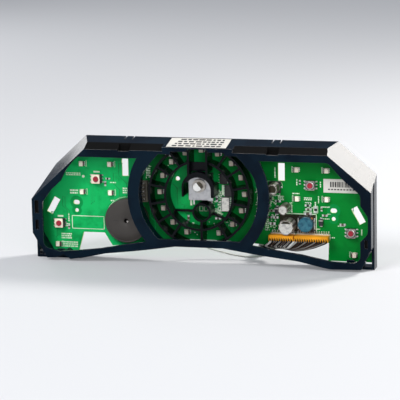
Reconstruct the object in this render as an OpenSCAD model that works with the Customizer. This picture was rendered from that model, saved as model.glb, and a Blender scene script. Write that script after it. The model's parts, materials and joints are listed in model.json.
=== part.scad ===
// Control board of a household appliance in its moulded frame. It stands on the frame's rear rim.
// X runs to the right seen from the front, Y to the back and Z up. The origin is at the middle
// of the base.

/* [Frame] */
// Half of the width over the rear rim
half_w = 114; // [112:0.5:118]
// Wall thickness of the moulding
wall = 1.8; // [1.4:0.1:2]
// Thickness of the front plate
plate_t = 2; // [1.6:0.1:2.4]
// Depth of the frame from the front plate to the rear edge
frame_depth = 18.5; // [18:0.5:20]
// Height of the top wall at the bend between its sloped and its level part
bend_z = 79.4; // [79:0.1:80]
// Inner radius of the ring band
ring_r = 39.8; // [39:0.1:40.4]
// Width of the ring band
band_w = 7.6; // [7:0.1:8]
// Height of the ring's centre above the base
ring_z = 46.4; // [46:0.1:47]

/* [Circuit board] */
// Thickness of the board
board_t = 1.6; // [1:0.2:1.6]
// Length of the four long slots
slot_l = 11.6; // [10:0.2:12]

/* [Light box] */
// Outer radius of the light box
box_r = 34.2; // [33:0.1:35]
// Inner radius of the light box
box_inner_r = 21.9; // [21.5:0.1:23]
// Height of the light box above the board
box_h = 11; // [10:0.1:11.2]

/* [Lights] */
// Radius of the circle of lights
led_circle_r = 28.5; // [28:0.1:29]
// Width of one light chip
led_w = 3.3; // [3:0.1:3.5]
// Height of one light chip above the board
led_h = 1.9; // [1.5:0.1:2.2]

/* [Encoder] */
// Radius of the shaft
shaft_r = 3; // [2.8:0.1:3]
// Length of the shaft that stands out of the bushing
shaft_out = 4.5; // [4:0.1:5]
// Height of the encoder's axis above the base
encoder_z = 52.8; // [52:0.1:53.4]

/* [Switches] */
// Side of a push switch
switch_w = 6; // [5.6:0.1:6.2]
// Height of a switch's body above the board
switch_h = 3.4; // [3:0.1:3.6]
// Radius of a plunger
plunger_r = 1.75; // [1.5:0.05:1.8]

/* [Wiring] */
// Contact pitch of both plugs
pitch = 1.55; // [1.4:0.05:1.6]
// Diameter of the harness bundle
harness_d = 5.6; // [5:0.1:5.8]

/* [Hidden] */

$fn = 64;
// Cells of the light box, all but the lowest with a light
cells = 16;
front_y = -8.5;
rear_y = front_y + frame_depth;
bend_y = -2.5;
rim_y = 1;
board_y = 5;
board_back = board_y + board_t;
side_x = half_w - 0.4;
top_lean = 10.6;
facet_lean = 31.3;
facet_z = 75.7;
raise_x = 23.5;
chamfer_lean = 20.9;
// Front corners where the chamfer facets start and end, as x and z
left_low = [-113.4, 41.6];
left_turn = 42.66;
left_rear_turn = 54.6;
left_rear_lean = 7.1;
right_top = [85.3, 75.9];
right_turn = -39.85;
// Lower edge of the frame to the right of the middle, as x and z
arch = [[16, 12.6], [40, 9], [66, 5.9], [82, 2.4]];
rim_arch = [[16, 10.7], [40, 7.1], [66, 4], [84, 0]];
bar_top_z = 17.3;
snap_x = 49.5;
snap_w = 8;
gap = 0.4;
// Light box: its walls, posts, collar and boss ring
board_low = 14.8;
box_wall = 1.5;
post_x = 5.4;
post_w = 1.4;
post_front = -8.4;
post_step = -5.6;
collar_r = 8.8;
collar_z = 51.6;
collar_leg = 5.6;
collar_drop = 1.4;
boss_x = 1.7;
boss_z = 35.3;
boss_r = 4.9;
// Encoder: half width and the levels of its parts
encoder_half = 7.4;
encoder_low = 9.8;
encoder_h = 17.2;
base_top = -2.3;
cover_top = base_top - 1;
bushing_top = -5.5;
journal_r = shaft_r - 0.4;

// Draws a profile in the X and Z plane and extrudes it from y0 back to y1
module along_y(y0, y1) {
    translate([0, y1, 0]) rotate([90, 0, 0]) linear_extrude(y1 - y0) children();
}

// Everything above a plane through p whose front line rises by turn and which leans back
module above(p, turn, lean, inset = 0) {
    size = 300;
    translate([p[0], p[1], p[2]])
        rotate([0, -turn, 0])
            rotate([lean, 0, 0])
                translate([-size / 2, -size / 2, -inset])
                    cube([size, size, size / 2]);
}

// Cuts the level and sloped top faces and the three chamfer facets, moved in by i
module cut_top(i) {
    difference() {
        children();
        above([0, bend_y, bend_z], 0, top_lean, i);
        above([left_low[0], front_y, left_low[1]], left_turn, chamfer_lean, i);
        above([left_low[0], front_y, left_low[1]], left_rear_turn, left_rear_lean, i);
        above([right_top[0], front_y, right_top[1]], right_turn, chamfer_lean, i);
        difference() {
            above([0, front_y, facet_z], 0, facet_lean, i);
            translate([-raise_x + i, front_y - 1, 0]) cube([2 * (raise_x - i), frame_depth, 100]);
        }
    }
}

function mirrored(points) = [for (p = points) [-p[0], p[1]]];
function reversed(points) = [for (n = [len(points) - 1 : -1 : 0]) points[n]];
function raised(points, i) = [for (p = points) [p[0], p[1] + i]];
function arc(x, z, r, from, to, steps) =
    [for (n = [0 : steps]) let (a = from + (to - from) * n / steps) [x + r * cos(a), z + r * sin(a)]];

// Front outline of the frame, moved in by i
function tier(i) = concat(
    [[-side_x + i, 95], [-side_x + i, 18.5 + 0.3 * i], [-104 + 0.7 * i, 1.9 + i]],
    [[-98, 2.2 + i], [-92.5, 4.6 + i], [-88, 1.5 + i]],
    raised(mirrored(reversed(arch)), i), raised(arch, i),
    [[87, 1.5 + i], [107 - 0.7 * i, 1.9 + i], [side_x - i, 15.5 + 0.3 * i], [side_x - i, 95]]);

// Outline of the rear rim, moved in by i
function rim(i) = concat(
    [[-half_w + i, 95], [-half_w + i, i]],
    raised(mirrored(reversed(rim_arch)), i), raised(rim_arch, i),
    [[half_w - i, i], [half_w - i, 95]]);

left_window = concat(
    [[-30, 70.5]], arc(-80, 67, 3.5, 90, 130, 4),
    [[-89.4, 61.2], [-93, 54], [-99.5, 48.2]], arc(-101.5, 37.7, 4.8, 130, 180, 5),
    arc(-101.3, 13, 5, 180, 240, 5),
    [[-95.3, 6.5], [-81.4, 7.7], [-64.8, 9.7], [-51, 12.6], [-30, 16]]);
right_window = concat(
    [[30, 16], [51, 12.6], [67, 10.3], [75, 9], [88, 6.5]], arc(101.5, 11.2, 5, -90, 0, 6),
    [[106.5, 20.3]], arc(106.4, 27.5, 5, -35, 0, 3), arc(106.4, 35, 5, 0, 35, 3),
    [[106.6, 43.7], [106.6, 47.6]], arc(102.2, 48.6, 4.4, 10, 50, 3),
    [[99.9, 56.5], [94.8, 60.9]], arc(83.5, 65.4, 5.5, 50, 90, 4), [[30, 70.9]]);

module window(points) {
    difference() {
        along_y(front_y - 1, front_y + plate_t + 1) polygon(points);
        translate([0, 0, ring_z]) rotate([-90, 0, 0])
            translate([0, 0, front_y - 2]) cylinder(r = ring_r + band_w, h = plate_t + 4, $fn = 128);
    }
}

module ring_opening() {
    corner = [[45, bar_top_z], [45, 56], [39, 56], [36.4, 61.6], [30.4, 69.2], [26, 73.7],
        [18, 73.7], [18, 75.6], [7.1, 75.6], [7.1, 77.4]];
    intersection() {
        translate([0, 0, ring_z]) rotate([-90, 0, 0])
            translate([0, 0, front_y - 1]) cylinder(r = ring_r, h = plate_t + 2, $fn = 128);
        along_y(front_y - 2, front_y + 6) polygon(concat(corner, mirrored(reversed(corner))));
    }
}

// Wall that stands behind the inner edge of the ring band
module ring_lip() {
    intersection() {
        difference() {
            rotate([-90, 0, 0]) translate([0, -ring_z, front_y + 1])
                cylinder(r = ring_r + 1.5, h = 6.3, $fn = 128);
            rotate([-90, 0, 0]) translate([0, -ring_z, front_y])
                cylinder(r = ring_r, h = 9, $fn = 128);
        }
        translate([-60, front_y, bar_top_z - 4]) cube([120, 10, 75.6 - bar_top_z]);
    }
}

// One stop in front of the board and one hook behind it, with the gap for the board between
module board_clip(x, z) {
    clip_w = 5;
    clip_h = 4.4;
    translate([x - clip_w / 2, board_y - 2.4, z]) cube([clip_w, 2.3, clip_h]);
    translate([x - clip_w / 2, board_back + 0.2, z]) cube([clip_w, 1.6, clip_h]);
}

module front_tier() {
    difference() {
        cut_top(0) along_y(front_y, board_y - gap) polygon(tier(0));
        cut_top(wall) along_y(front_y + plate_t, board_y) polygon(tier(wall));
        window(left_window);
        window(right_window);
        ring_opening();
    }
}

module rear_rim() {
    difference() {
        cut_top(0) along_y(rim_y, rear_y) polygon(rim(0));
        cut_top(wall) along_y(rim_y - 1, rear_y + 1) polygon(rim(wall));
    }
}

// Wall that closes a snap window from behind
module snap_back(x) {
    translate([x - snap_w / 2 - 1, -2.6, 73.4]) cube([snap_w + 2, 1.2, 14]);
}

module housing_frame() {
    color("#0b0d12") difference() {
        union() {
            front_tier();
            rear_rim();
            ring_lip();
            cut_top(wall / 2) for (x = [-70, -31, 31, 70]) board_clip(x, 76.6);
            for (x = [-98, 98]) board_clip(x, 1);
            cut_top(wall / 2) for (s = [-1, 1]) snap_back(s * snap_x);
        }
        for (s = [-1, 1]) {
            // Snap window in the sloped facet
            translate([s * snap_x - snap_w / 2, front_y - 1, 75]) cube([snap_w, 6.6, 8]);
            // Two slits that free the snap tongue in the level part
            for (d = [-2.6, 2.6])
                translate([s * snap_x + d - 0.4, rear_y - 6, 72]) cube([0.8, 10, 14]);
        }
        // Recesses in the front face of the side bands
        translate([-111.5, front_y - 1, 31.8]) cube([2.6, 2.4, 8.6]);
        translate([-111.4, front_y - 1, 20.9]) cube([2.2, 2.4, 6.4]);
        translate([109.2, front_y - 1, 16]) cube([2.2, 2.4, 5.6]);
    }
}

board_outline = concat(
    [[-111.6, 43.2], [-104.1, 53.9], [-77.8, 78.2], [86.4, 78.2], [111.6, 57.2], [111.6, 4]],
    [[83, 4], [83.5, 15.8], [46, 15.8], [44, 13], [16, 14.8], [-16, 14.8]],
    [[-40, 11.2], [-62.6, 8.6], [-67.8, 17.2], [-82.4, 17.2], [-86.2, 4], [-111.6, 4]]);

module board_cut(x, z, turn) {
    translate([x, 0, z]) rotate([0, turn, 0])
        translate([-2.2, board_y - 1, -slot_l / 2]) cube([4.4, board_t + 2, slot_l]);
}

module board_hole(x, z, r) {
    translate([x, board_y - 1, z]) rotate([-90, 0, 0]) cylinder(r = r, h = board_t + 2, $fn = 32);
}

module circuit_board() {
    color("#14824a") difference() {
        along_y(board_y, board_back) polygon(board_outline);
        for (s = [-1, 1]) {
            board_cut(s * 52.6, 61.7, 0);
            board_cut(s * 102.9, 34.6, -s * 29);
            board_hole(s * 86.1, 37.2, 1.5);
            board_hole(s * 87.4, 37.2, 1.5);
            translate([s * 86.75 - 0.65, board_y - 1, 35.7]) cube([1.3, board_t + 2, 3]);
            board_hole(s * 86.7, 31.8, 1.3);
        }
        board_hole(-16.8, 55.3, 1.45);
    }
}

module annulus(r0, r1) {
    difference() {
        circle(r = r1, $fn = 96);
        circle(r = r0, $fn = 96);
    }
}

module ring_wall(x, z, r0, r1, y0, y1) {
    translate([x, 0, z]) along_y(y0, y1) annulus(r0, r1);
}

// Plan of the cells: two ring walls and the ribs between them, square to the board
module cell_walls(wall_t) {
    // Ribs of the cells, without those that the posts and the lowest cell leave out
    ribs = [0, 1, 2, 5, 6, 7, 8, 9, 10, 13, 14, 15];
    low = board_low + 0.2 - ring_z;
    high = 30.1;
    intersection() {
        union() {
            annulus(box_r - wall_t, box_r);
            difference() {
                annulus(box_inner_r, box_inner_r + wall_t);
                translate([-post_x, 0]) square([2 * post_x, box_r]);
            }
            for (n = ribs) rotate((n + 0.5) * 360 / cells)
                translate([box_inner_r + 0.4, -wall_t / 2])
                    square([box_r - box_inner_r - 0.8, wall_t]);
        }
        translate([-50, low]) square([100, high - low]);
    }
}

// Plan of the collar around the encoder: an arch on two legs, thick at its top and thin at its left
module collar_plan() {
    difference() {
        intersection() {
            circle(r = collar_r + 2, $fn = 96);
            translate([-20, 0]) square([40, 20]);
        }
        translate([0, -collar_drop]) circle(r = collar_r, $fn = 96);
        intersection() {
            circle(r = collar_r + 1.1, $fn = 96);
            polygon([[0, -1], [-30, -1], [-30, 18]]);
        }
    }
    translate([collar_r, -collar_leg]) square([2, collar_leg + 0.5]);
    translate([-collar_r - 2, -collar_leg]) square([0.95, collar_leg + 0.5]);
}

// Plan of the part of the legs that reaches the board
module leg_plan() {
    intersection() {
        collar_plan();
        translate([-20, -collar_leg]) square([40, collar_leg + 2.4]);
    }
}

module light_box() {
    box_front = board_y - box_h;
    color("#15161a") {
        translate([0, 0, ring_z]) along_y(box_front, board_y) cell_walls(box_wall);
        // Boss ring on two low spokes and a high one
        ring_wall(boss_x, boss_z, boss_r, boss_r + 1.4, box_front, board_y);
        translate([-20.9, board_y - 2.4, 33.8]) cube([17.3, 2.4, 1.4]);
        translate([6.7, board_y - 2.4, 32.6]) rotate([0, 24, 0]) cube([10.6, 2.4, 1.4]);
        translate([0.6, box_front, board_low + 0.2]) cube([1.6, box_h, 14.6]);
        // Two posts that part the top cells and carry the collar in front of the encoder
        for (s = [-1, 1]) translate([s * (post_x + post_w / 2) - post_w / 2, 0, 0]) {
            translate([0, post_step, 61.6]) cube([post_w, board_y - post_step, 14.8]);
            translate([0, post_front, 59.4]) cube([post_w, post_step - post_front + 1, 17.2]);
        }
        // Web between the posts over the collar
        translate([-post_x - 0.5, -3.4, 62.4]) cube([2 * post_x + 1, 1.6, 5.8]);
        translate([0, 0, collar_z]) along_y(post_front, cover_top - 0.3) collar_plan();
        translate([0, 0, collar_z]) along_y(cover_top - 1, board_y) leg_plan();
    }
}

module encoder_base() {
    color("#2b2c30") difference() {
        translate([-encoder_half, base_top, encoder_z - encoder_low])
            cube([2 * encoder_half, board_y - base_top, encoder_h]);
        translate([0, base_top - 1, encoder_z]) rotate([-90, 0, 0]) cylinder(r = 4.6, h = 5.2);
        for (s = [-1, 1])
            translate([s * (encoder_half + 0.8) - 1.4, base_top - 1, encoder_z - 3])
                cube([2.8, 10, 6]);
    }
}

module encoder_cover() {
    color("#c4c4c6") difference() {
        union() {
            translate([-encoder_half, cover_top, encoder_z - encoder_low])
                cube([2 * encoder_half, 1, encoder_h]);
            translate([encoder_half - 2, cover_top, encoder_z - encoder_low - 0.4])
                cube([3.4, 1, 1.8]);
            translate([0, bushing_top, encoder_z]) rotate([-90, 0, 0])
                cylinder(r = 4.4, h = cover_top + 0.5 - bushing_top);
        }
        translate([0, bushing_top - 1, encoder_z]) rotate([-90, 0, 0])
            cylinder(r = journal_r + 0.06, h = 12);
    }
}

module encoder_shaft() {
    tip = bushing_top - shaft_out;
    shoulder = bushing_top - 0.1;
    flange = base_top + 0.3;
    flat_at = shaft_r / 2;
    flat_l = 4;
    color("#d8d7d2") difference() {
        translate([0, 0, encoder_z]) rotate([-90, 0, 0]) {
            translate([0, 0, tip]) cylinder(r1 = shaft_r - 0.4, r2 = shaft_r, h = 0.4);
            translate([0, 0, tip + 0.4]) cylinder(r = shaft_r, h = shoulder - tip - 0.4);
            translate([0, 0, shoulder]) cylinder(r = journal_r, h = flange - shoulder);
            translate([0, 0, flange]) cylinder(r = 4.2, h = 1.2);
            translate([0, 0, flange + 1.2]) cylinder(r = journal_r, h = 1.8);
        }
        // Flat that faces up and to the right
        translate([0, tip - 1, encoder_z]) rotate([0, -40, 0])
            translate([flat_at, 0, -shaft_r]) cube([shaft_r, flat_l + 1, 2 * shaft_r]);
    }
}

// Places of the four switches, as x and z
switches = [[-72, 53.8], [-98.5, 23.2], [72, 53.8], [98.5, 23.2]];
plunger_tip = board_y - switch_h - 0.9;
switch_front = board_y - switch_h;

module switch_body(n) {
    p = switches[n - 1];
    color(p[0] < 0 ? "#ead9c4" : "#8d8a88") translate([p[0], 0, p[1]]) difference() {
        union() {
            translate([-switch_w / 2, switch_front, -switch_w / 2])
                cube([switch_w, switch_h, switch_w]);
            for (s = [-1, 1], z = [-2.25, 0, 2.25])
                translate([s * (switch_w / 2 + 0.6) - 0.8, board_y - 0.5, z - 0.4])
                    cube([1.6, 0.5, 0.8]);
        }
        translate([0, switch_front - 1, 0]) rotate([-90, 0, 0])
            cylinder(r = plunger_r + 0.1, h = 3.6, $fn = 48);
        for (a = [-1, 1], b = [-1, 1])
            translate([a * 2.4, switch_front - 0.4, b * 2.4]) rotate([-90, 0, 0])
                cylinder(r = 0.35, h = 0.6, $fn = 24);
    }
}

module switch_plunger(n) {
    p = switches[n - 1];
    color("#b83a44") translate([p[0], plunger_tip, p[1]]) rotate([-90, 0, 0]) {
        cylinder(r1 = plunger_r - 0.2, r2 = plunger_r, h = 0.2, $fn = 48);
        translate([0, 0, 0.2]) cylinder(r = plunger_r, h = 2.7, $fn = 48);
    }
}

// One light chip with its solder tabs, its round lens and a marked corner
module light_chip() {
    color("#f1e6cf") difference() {
        translate([-led_w / 2, board_y - led_h, -1.7]) cube([led_w, led_h, 3.4]);
        translate([0, board_y - led_h - 1, 0]) rotate([-90, 0, 0])
            cylinder(r = 1.2, h = 1.25, $fn = 32);
    }
    color("#c9c9c4") translate([-led_w / 2 - 0.8, board_y - 0.3, -1.1])
        cube([led_w + 1.6, 0.3, 2.2]);
}

// The lights stand in the cells from the lower right one round to the lower left one
module ring_light(n) {
    a = -90 + n * 360 / cells;
    translate([led_circle_r * cos(a), 0, ring_z + led_circle_r * sin(a)]) light_chip();
}

wing_lights = [[62.5, 63.6], [62.6, 44.5], [82.1, 44.6], [82.1, 63.5], [100, 8.6]];

module wing_lights(side) {
    for (p = wing_lights) translate([side * p[0], 0, p[1]]) light_chip();
}

module buzzer() {
    r = 14.6;
    h = 5.5;
    color("#4c4540") translate([-51.3, board_y - h, 26.7]) rotate([-90, 0, 0]) difference() {
        union() {
            cylinder(r1 = r - 0.7, r2 = r, h = 0.7, $fn = 96);
            translate([0, 0, 0.7]) cylinder(r = r, h = h - 0.7, $fn = 96);
        }
        translate([0, 0, -1]) cylinder(r = 1.1, h = 3.5, $fn = 32);
    }
}

// A can with a rolled shoulder, a groove near its foot and a rubber bung's step
module can(x, z, r, h) {
    translate([x, board_y - h, z]) rotate([-90, 0, 0]) difference() {
        union() {
            cylinder(r1 = r - 0.5, r2 = r, h = 0.5, $fn = 64);
            translate([0, 0, 0.5]) cylinder(r = r, h = h - 0.5, $fn = 64);
        }
        translate([0, 0, h - 2.4]) difference() {
            cylinder(r = r + 1, h = 0.9, $fn = 64);
            translate([0, 0, -1]) cylinder(r = r - 0.3, h = 3, $fn = 64);
        }
    }
}

module capacitor_large() {
    color("#b9b5ae") can(57.2, 27.1, 5, 10);
}

module capacitor_small() {
    color("#b9b5ae") can(55.4, 38.6, 3.2, 10.2);
}

module capacitor_surface() {
    color("#b9b5ae") can(48.4, 51.7, 3.6, 9.6);
    color("#1b1b1d") translate([44.5, board_y - 1.2, 47.8]) cube([7.8, 1.2, 7.8]);
}

inductor_x = 69;
inductor_z = 28.2;

module inductor_base() {
    a = 5;
    c = 1.5;
    color("#3b3a3c") translate([inductor_x, 0, inductor_z]) difference() {
        along_y(board_y - 2.4, board_y)
            polygon([[-a, -a + c], [-a + c, -a], [a, -a], [a, a - c], [a - c, a], [-a, a]]);
        for (s = [-1, 1]) translate([s * a - 0.6, board_y - 3, -1.2]) cube([1.2, 5, 2.4]);
    }
}

module inductor_coil() {
    color("#2f6fa4") translate([inductor_x, board_y - 6, inductor_z]) rotate([-90, 0, 0])
        rotate_extrude($fn = 64) polygon([[0, 0.5], [2.2, 0.5], [2.8, 0], [4.1, 0], [4.8, 0.7],
            [4.8, 1.4], [4.2, 1.8], [4.2, 3], [4.8, 3.3], [4.8, 3.6], [0, 3.6]]);
}

// Both connectors: left x, number of contacts
connectors = [[45.4, 10], [62.2, 14]];
header_z = 17.8;
connector_h = 3.6;
header_y = board_y - 2.4;

function connector_w(n) = connectors[n][1] * pitch + 0.6;

module header(n) {
    w = connector_w(n);
    color("#e6dcc6") difference() {
        translate([connectors[n][0], header_y, header_z + 0.2]) cube([w, 2.4, connector_h]);
        for (k = [0 : connectors[n][1] - 1])
            translate([connectors[n][0] + 0.3 + (k + 0.25) * pitch, header_y + 0.8, header_z + 3.2])
                cube([pitch / 2, 1, 2]);
    }
}

module plug(n) {
    w = connector_w(n);
    h = 6;
    color("#e8942c") difference() {
        translate([connectors[n][0], header_y - h, header_z]) cube([w, h, connector_h]);
        for (k = [0 : connectors[n][1] - 1]) {
            x = connectors[n][0] + 0.3 + (k + 0.5) * pitch;
            // Wire throat at the lower side and window over the contact in the front
            translate([x - 0.55, header_y - h + 0.8, header_z - 1]) cube([1.1, h - 1.6, 2]);
            translate([x - 0.4, header_y - h - 1, header_z - 1]) cube([0.8, 2.2, 2.2]);
        }
    }
}

// A flat chip with its leads along two sides
module chip(x, z, w, h, t, leads) {
    color("#1d1e22") translate([x - w / 2, board_y - t, z - h / 2]) cube([w, t, h]);
    color("#c6c6c0") for (s = [-1, 1], k = [0 : leads - 1])
        translate([x + s * (w / 2 + 0.3) - 0.5, board_y - 0.4, z + ((k + 0.5) / leads - 0.5) * h - 0.2])
            cube([1, 0.4, 0.4]);
}

module driver_chip() {
    chip(17.4, 48.2, 5, 7.6, 1.5, 7);
}

module control_chip() {
    chip(15.3, 39.2, 5.4, 9.6, 1.3, 8);
}

module memory_chip() {
    chip(14.2, 56.2, 5, 7, 1.4, 4);
}

module side_connector() {
    color("#d9d5cb") difference() {
        translate([-42, board_y - 4, 39.6]) cube([5.4, 4, 14]);
        for (k = [0 : 4]) translate([-41, board_y - 5, 40.4 + 2.6 * k]) cube([3.2, 3, 1.8]);
    }
}

// Chip resistors and capacitors, as x, z, width and height
chips = [
    [69.4, 40.6, 3, 1.6], [69.4, 37.2, 3, 1.6], [65, 39.4, 1.6, 3], [74.6, 38.6, 1.8, 3.4],
    [80, 39.7, 3.4, 1.7], [80, 36, 3.4, 1.7], [80, 32.4, 3.4, 1.7], [92.6, 28.2, 3.2, 1.6],
    [42.6, 44.6, 1.6, 3], [45.4, 44.2, 1.6, 3], [43.4, 39.6, 3, 1.6], [46, 36, 3, 1.6],
    [44.6, 31.6, 2.6, 1.6], [48.6, 31.6, 2.6, 1.6], [46.4, 27.4, 3, 1.8], [50, 42.4, 3.2, 1.6],
    [-66.4, 50.4, 1.4, 2.6], [-92.4, 20.4, 1.4, 2.4], [-64.6, 53.8, 2.4, 1.2], [10, 29.6, 3, 1.6],
    [-10, 29.2, 1.6, 3], [-14, 41.6, 3, 1.6], [-12.6, 46.4, 1.6, 3], [9.4, 42.6, 1.6, 3]];

module chip_parts() {
    for (c = chips) {
        color("#3a332e") translate([c[0] - c[2] / 2, board_y - 0.7, c[1] - c[3] / 2])
            cube([c[2], 0.7, c[3]]);
    }
}

module diodes() {
    for (p = [[76.4, 33.4], [49.6, 36.4], [38.2, 64.6]]) {
        color("#26262a") translate([p[0] - 1.4, board_y - 2, p[1] - 2.2]) cube([2.8, 2, 4.4]);
        color("#c6c6c0") translate([p[0] - 0.8, board_y - 0.5, p[1] - 3]) cube([1.6, 0.5, 6]);
    }
}

label_t = 0.15;

module board_label() {
    color("#e9e4df") translate([80.2, board_y - label_t, 49]) cube([23, label_t, 9]);
}

module frame_label() {
    color("#e9e4df") translate([-21, bend_y, bend_z]) rotate([top_lean, 0, 0])
        translate([0, -4.9, 0]) cube([40, 16.2, label_t]);
}

// Routes of the wiring, from point to point
left_route = [[53.4, -0.4, 17.8], [52, 1, 14.4], [49, 5, 11.6], [46, 10, 10.9], [42, 16.6, 10.9]];
right_route = [
    [73.4, -0.4, 17.8], [71.4, 1.5, 13.6], [64, 6, 10.6], [55, 12, 9.2], [49, 14.6, 8],
    [42, 16.6, 7.4]];
harness_route = [
    [42, 16.6, 9], [37, 19.6, 8.8], [34, 28, 6.6], [33, 38, 4], [33, 50, 3], [36, 64, 2.9],
    [44, 75, 2.9], [55, 82, 2.9], [63, 91, 2.9], [61, 103, 2.9], [49, 110.5, 2.9], [32, 113, 2.9],
    [6, 113, 2.9], [-20, 110, 2.9], [-38, 102.5, 2.9], [-46, 91, 2.9], [-42, 79.5, 2.9],
    [-24, 74.5, 2.9], [-2, 76, 2.9]];
white_route = [
    [44, 14.4, 5.4], [42, 14.6, 4.4], [39, 15, 3.4], [34, 15, 2.5], [28, 15, 2], [21.6, 15, 2.4],
    [15.5, 15, 3.3], [8, 15, 5], [0, 15, 7], [-6, 14.6, 10.4], [-10, 13, 16], [-12, 11, 22],
    [-12, 8.6, 27], [-12, board_back, 28.6]];

function unit(v) = v / norm(v);
function course(route, n) =
    n == 0 ? unit(route[1] - route[0])
    : n == len(route) - 1 ? unit(route[n] - route[n - 1])
    : unit(unit(route[n + 1] - route[n]) + unit(route[n] - route[n - 1]));

// Tube of eight sides along a route that never runs along side, one ring at each of its points
module tube(route, d, side = [0.05, 0.1, 1]) {
    sides = 8;
    r = d / 2;
    rings = len(route);
    points = [for (n = [0 : rings - 1])
        let (t = course(route, n), s = unit(cross(t, side)), u = cross(s, t))
        for (k = [0 : sides - 1])
            route[n] + r * (cos(360 * k / sides) * s + sin(360 * k / sides) * u)];
    skin = [for (n = [0 : rings - 2], k = [0 : sides - 1])
        [n * sides + k, n * sides + (k + 1) % sides,
         (n + 1) * sides + (k + 1) % sides, (n + 1) * sides + k]];
    start = [for (k = [sides - 1 : -1 : 0]) k];
    end = [for (k = [0 : sides - 1]) (rings - 1) * sides + k];
    polyhedron(points, concat([start], [end], skin), convexity = 8);
}

module wires_left() {
    color("#8b8680") tube(left_route, 3.2);
}

module wires_right() {
    color("#8b8680") tube(right_route, 3.6);
}

module cable_tie() {
    color("#202024") translate([40.6, 17.4, 9]) rotate([0, 0, -31]) rotate([0, 90, 0])
        difference() {
            union() {
                cylinder(r = harness_d / 2 + 1.2, h = 2.4, center = true, $fn = 48);
                translate([-5.6, -1.6, -1.6]) cube([3.2, 3.2, 3.2]);
            }
            cylinder(r = harness_d / 2 + 0.4, h = 4, center = true, $fn = 48);
        }
}

module harness() {
    color("#77726d") tube(harness_route, harness_d);
}

module harness_connector() {
    color("#efe9da") translate([-2, 76, 0]) rotate([0, 0, 6]) difference() {
        translate([0, -9, 0]) cube([13, 18, 6]);
        for (k = [0 : 5], z = [1, 3.6]) translate([8, -7.6 + 2.6 * k, z]) cube([6, 1.9, 1.6]);
    }
}

module white_wire() {
    color("#e9e9ea") tube(white_route, 1.3, [0, 1, 0.2]);
}

housing_frame();
circuit_board();
light_box();
encoder_base();
encoder_cover();
encoder_shaft();
switch_body(1);  // switch_body_1
switch_body(2);  // switch_body_2
switch_body(3);  // switch_body_3
switch_body(4);  // switch_body_4
switch_plunger(1);  // switch_plunger_1
switch_plunger(2);  // switch_plunger_2
switch_plunger(3);  // switch_plunger_3
switch_plunger(4);  // switch_plunger_4
ring_light(1);  // ring_light_1
ring_light(2);  // ring_light_2
ring_light(3);  // ring_light_3
ring_light(4);  // ring_light_4
ring_light(5);  // ring_light_5
ring_light(6);  // ring_light_6
ring_light(7);  // ring_light_7
ring_light(8);  // ring_light_8
ring_light(9);  // ring_light_9
ring_light(10);  // ring_light_10
ring_light(11);  // ring_light_11
ring_light(12);  // ring_light_12
ring_light(13);  // ring_light_13
ring_light(14);  // ring_light_14
ring_light(15);  // ring_light_15
wing_lights(-1);  // left_wing_lights
wing_lights(1);  // right_wing_lights
buzzer();
capacitor_large();
capacitor_small();
capacitor_surface();
inductor_base();
inductor_coil();
header(0);  // header_left
header(1);  // header_right
plug(0);  // plug_left
plug(1);  // plug_right
driver_chip();
control_chip();
memory_chip();
side_connector();
chip_parts();
diodes();
board_label();
frame_label();
wires_left();
wires_right();
cable_tie();
harness();
harness_connector();
white_wire();
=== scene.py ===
import json
import random
from math import atan2, cos, degrees, hypot, pi, radians, sin, sqrt

import bmesh
import bpy
from mathutils import Matrix, Vector


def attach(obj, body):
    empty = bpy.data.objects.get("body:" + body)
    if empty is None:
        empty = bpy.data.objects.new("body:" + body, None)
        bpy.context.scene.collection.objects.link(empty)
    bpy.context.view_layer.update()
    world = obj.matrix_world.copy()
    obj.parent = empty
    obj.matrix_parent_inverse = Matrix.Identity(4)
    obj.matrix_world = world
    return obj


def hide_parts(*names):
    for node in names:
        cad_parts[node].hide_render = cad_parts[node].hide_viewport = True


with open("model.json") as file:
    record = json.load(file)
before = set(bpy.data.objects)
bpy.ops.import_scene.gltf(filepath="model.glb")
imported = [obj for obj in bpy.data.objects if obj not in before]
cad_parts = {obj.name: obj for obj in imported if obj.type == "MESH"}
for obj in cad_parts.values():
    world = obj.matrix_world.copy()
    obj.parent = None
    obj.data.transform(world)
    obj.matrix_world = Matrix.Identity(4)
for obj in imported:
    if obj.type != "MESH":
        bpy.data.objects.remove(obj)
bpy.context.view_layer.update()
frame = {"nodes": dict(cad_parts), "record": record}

mm = 0.001
weld = 0.002 * mm           # points nearer than this become one
frontY, backY = 5.0, 6.6    # the board's two faces
sunk = frontY + 0.02        # back of whatever is printed on the board's front
pinPitch = 1.55             # from wire to wire in a plug
scene = bpy.context.scene
nodes = frame["nodes"]


# the photograph's view
view = {"place": (0.3566, -1.3497, 0.3349), "yaw": -14.83, "pitch": 11.83, "roll": -1.21,
        "lens": 197.2, "sensor": 36.0}


def makeCamera(view):
    yaw, pitch, roll = (radians(view[k]) for k in ("yaw", "pitch", "roll"))
    ahead = Vector((sin(yaw) * cos(pitch), cos(yaw) * cos(pitch),
                    -sin(pitch)))
    level = Vector((cos(yaw), -sin(yaw), 0))
    upward = level.cross(ahead)
    right = cos(roll) * level + sin(roll) * upward
    up = cos(roll) * upward - sin(roll) * level
    turn = Matrix((right, up, -ahead)).transposed().to_4x4()
    data = bpy.data.cameras.new("photoCamera")
    data.lens = view["lens"]
    data.sensor_width = view["sensor"]
    data.clip_end = 20
    camera = bpy.data.objects.new("photoCamera", data)
    camera.matrix_world = Matrix.Translation(view["place"]) @ turn
    scene.collection.objects.link(camera)
    scene.camera = camera


makeCamera(view)


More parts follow.
